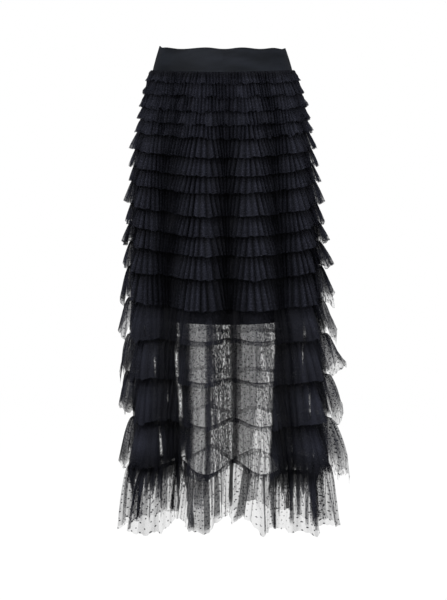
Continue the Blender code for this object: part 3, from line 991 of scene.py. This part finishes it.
def net_over_tier(number, turn, rows, down, height):
    """How the net lies over a tier, as the numbers that the pleating nodes read.

    The hem is thinner than the seam, and most of all at the two sides, where it stands out by
    itself, sooner on the right. The sheer tiers hang flat where they are thin. The last tier is
    deep only at the four quarters, down to a row of points.
    """
    across = np.sin(np.radians(turn))
    at_side = np.clip((np.abs(across) - np.where(across < 0, 0.90, 0.86)) / 0.08, 0, 1)
    start = np.where(across > 0, 0.50, 0.70) + 0.10 * uneven(turn * 3, number + 120)
    side = 1 - 0.8 * np.clip((down - start) / 0.35, 0, 1) * at_side
    even = np.ones_like(turn)
    values = {"pleated": even, "frayed": even, "dotted": even}
    if number < FIRST_SHEER:
        folds = at_side * loose_folds(turn, down, number, 0.7)[0]
        layers = (5.0 * (1 - 0.3 * np.clip((down - 0.5) / 0.4, 0, 1)) + folds) * side
        values.update(layers=layers, creased=3.0 * side, crumpled=1 - side)
        # Painted light: the medium tiers are painted with 0.9 of the narrow tiers' light.
        values["light"] = even if number < NARROW_END else 0.9 * even
        return values
    seen, in_front = seen_turn(rows), rows[..., 1] < 0
    whole = together(seen, height)
    # Painted shade: in front the sheer tiers get half the light, more towards the quarters, and at the back
    # 0.8 of it.
    quarter = np.clip((np.abs(seen) - 27) / 4, 0, 1)
    shade = np.where(in_front, 0.5 + 0.3 * quarter, 0.8)
    if number < LAST_TIER:
        low = (number - FIRST_LOOSE + 1) / (LAST_TIER - FIRST_LOOSE + 1)
        folds, light = loose_folds(turn, down, number, 1.0, low=low)
        for middle in SMOOTH_MIDDLES:
            off = seen - middle
            seen = seen + 0.4 * (1 - 2 * down) * off * np.exp(-((off / 8) ** 2))
        layers = crowding(seen, in_front, height).layers
        flat = np.clip((layers - 2) / 4, 0.2, 0.6)
        layers_here = layers * whole
        thin = np.clip((0.95 - layers_here) / 0.1, 0, 1) * np.clip(1.4 * layers_here, 0.1, 1)
        # Painted shade: low on each sheer tier the light falls off at the quarters, most on the tier above
        # the last, so its hem line goes dark.
        quarter_hem_shade = (0.65 if number == LAST_TIER - 1 else 0.25) * quarter * np.clip((down - 0.50) / 0.35, 0, 1)
        if number == LAST_TIER - 1:
            ended = np.clip((0.86 + 0.22 * spikes(turn, 250, 1.4) - down) / 0.04, 0, 1)
            side = side * (1 - 0.85 * quarter * (1 - ended))
        values["layers"] = (layers + folds) * side * whole
        values["creased"] = 0.15 * layers * side * whole
        values["light"] = light * shade * (1 - quarter_hem_shade)
        values["pleated"] = flat
        values["frayed"] = 0.6 + 1.4 * at_side + (1.8 * quarter if number == LAST_TIER - 1 else 0.0)
        values["crumpled"] = np.maximum(thin, 0.5 * (1 - side))
        return values
    folds, light = loose_folds(turn, down, number, 0.45, net=LAST_NET)
    lowest = crowding(seen, in_front, np.full_like(seen, FOUNDATION_HEM)).layers
    deep = np.clip((lowest - 5.5) / 1.5, 0, 1)
    place, reach = seen_across(rows), DEEP_REACH * deep
    for spike in SPIKES:
        point = np.clip(1 - np.abs(place - spike.place) / spike.half_width, 0, 1) ** 0.7
        reach = np.maximum(reach, spike.reach * point)
    reach = reach + 0.10 * uneven(turn * 2, 90) * deep
    dense = np.clip((reach - down) / 0.12, 0, 1) * whole
    layers = LAST_NET.layers + DEEP_LAYERS * dense + np.where(in_front, 0.15, 0.45) * folds
    for strand in STRANDS:
        off = np.abs(place - strand.place_high - (strand.place_low - strand.place_high) * down)
        near = np.clip((strand.half_width - off) / 0.0008, 0, 1) * in_front
        layers = layers + near * strand.layers * np.clip((strand.reach - down) / 0.1, 0, 1)
    below = np.clip((reach + 0.20 - down) / 0.1, 0, 1)
    values.update(layers=layers, creased=0.3 * even, light=light * shade)
    values["crumpled"] = 0.8 * below * (1 - dense) * whole
    return values


def make_tier(number):
    tier, seam = TIERS[number], seam_height(number)
    gathering = [g for g in GATHERINGS if number + 1 >= g.first][-1]
    turn = np.arange(gathering.columns) * 360 / gathering.columns
    turn, down = np.meshgrid(turn, np.linspace(0, 1, gathering.rows))
    spread = turn + gathering.fan * down * along_folds(turn).to_valley
    across = np.sin(np.radians(turn))
    loose = np.clip((np.abs(across) - 0.80) / 0.12, 0, 1)
    swing, hitch = uneven(turn * 0.4, number + 30) * loose, uneven(turn * 0.4, number + 60) * loose
    last, loose_tier = number == LAST_TIER, number >= FIRST_LOOSE
    standing = np.clip(uneven(turn * 0.8, number + 90), 0, 1) * loose_tier
    left = np.clip(-across, 0, 1) ** 4
    sooner = 0.50 * loose * standing + (0.45 if last else 0.20) * left * loose_tier
    out = down ** np.clip(0.80 + 0.10 * across**4 - sooner, 0.3, 1.0)
    height = seam + (tier.hem - seam) * down
    if loose_tier and not last:
        height = height - 0.045 * (spikes(turn, number, 2.2) - 0.40) * loose * down**2.5
    if number == LAST_TIER - 1:
        height = height - (0.030 * np.clip(across, 0, 1) ** 8 + 0.015 * left) * down**2
    if last:
        height = height - 0.016 * np.clip((np.abs(across) - 0.5) / 0.3, 0, 1) * down**2
        for point in HEM_POINTS:
            near = np.clip(1 - np.abs((turn + 180) % 360 - 180 - point.turn) / point.half_width, 0, 1)
            height = height - point.sinks * near * down**2
    rows = hang(
        spread,
        height,
        flare=tier.flare * out * (1 + (0.2 if last else -0.25) * left) * (1 + 0.3 * swing),
        wave=tier.wave * out,
        wave_turn=tier.phase * PHASE_STEP,
        lift=tier.side_lift * out * (0.6 + 0.9 * hitch),
    )
    rows = moved_out(rows, np.full_like(turn, SEAM_GAP + TIER_WALL / 2))
    seam_round = np.linalg.norm(np.diff(rows[0], axis=0), axis=1).sum()
    drop = seam - tier.hem
    cut = (seam_round * gathering.fullness, drop)
    at_back = np.abs((spread + 180) % 360 - 180) > 120
    heading = np.where(at_back, 0.4, 8.0 + 5.0 * uneven(turn * 2, number))
    heading = heading * np.exp(-((down * drop / 0.0018) ** 2))
    # Painted shade: a tier is darkest just under the hem that covers its seam and lightens towards its own
    # hem.
    covered = 0.008 / drop
    darkest = 0.42 if number < NARROW_END or number >= FIRST_SHEER else 0.20
    seam_shade = darkest + (1 - darkest) * np.clip((down - covered) / 0.42, 0, 1) ** 0.9
    blotch = 1 + (0.16 if number < NARROW_END else 0.10) * uneven(spread, number)
    values = net_over_tier(number, turn, rows, down, height)
    values["layers"] = values["layers"] + heading
    opened = down if number < FIRST_SHEER else 0.4 + 0.4 * down
    # Painted light and shade: the tone is the painted light of the fold valleys, the shade under the hem
    # above, random blotches of tone, and the light from net_over_tier.
    values["tone"] = fold_light(spread, height, opened) * seam_shade * blotch * values.pop("light")
    cloth = ring_of_cloth(f"tulle_tier_{number + 1:02d}", rows, cut, TULLE, values=values)
    gathered(cloth, seed=number + 2, unevenness=1.6, **gathering._asdict())
    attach(cloth, "root")
    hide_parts(f"tier_{number + 1:02d}")


for number in range(len(TIERS)):
    make_tier(number)
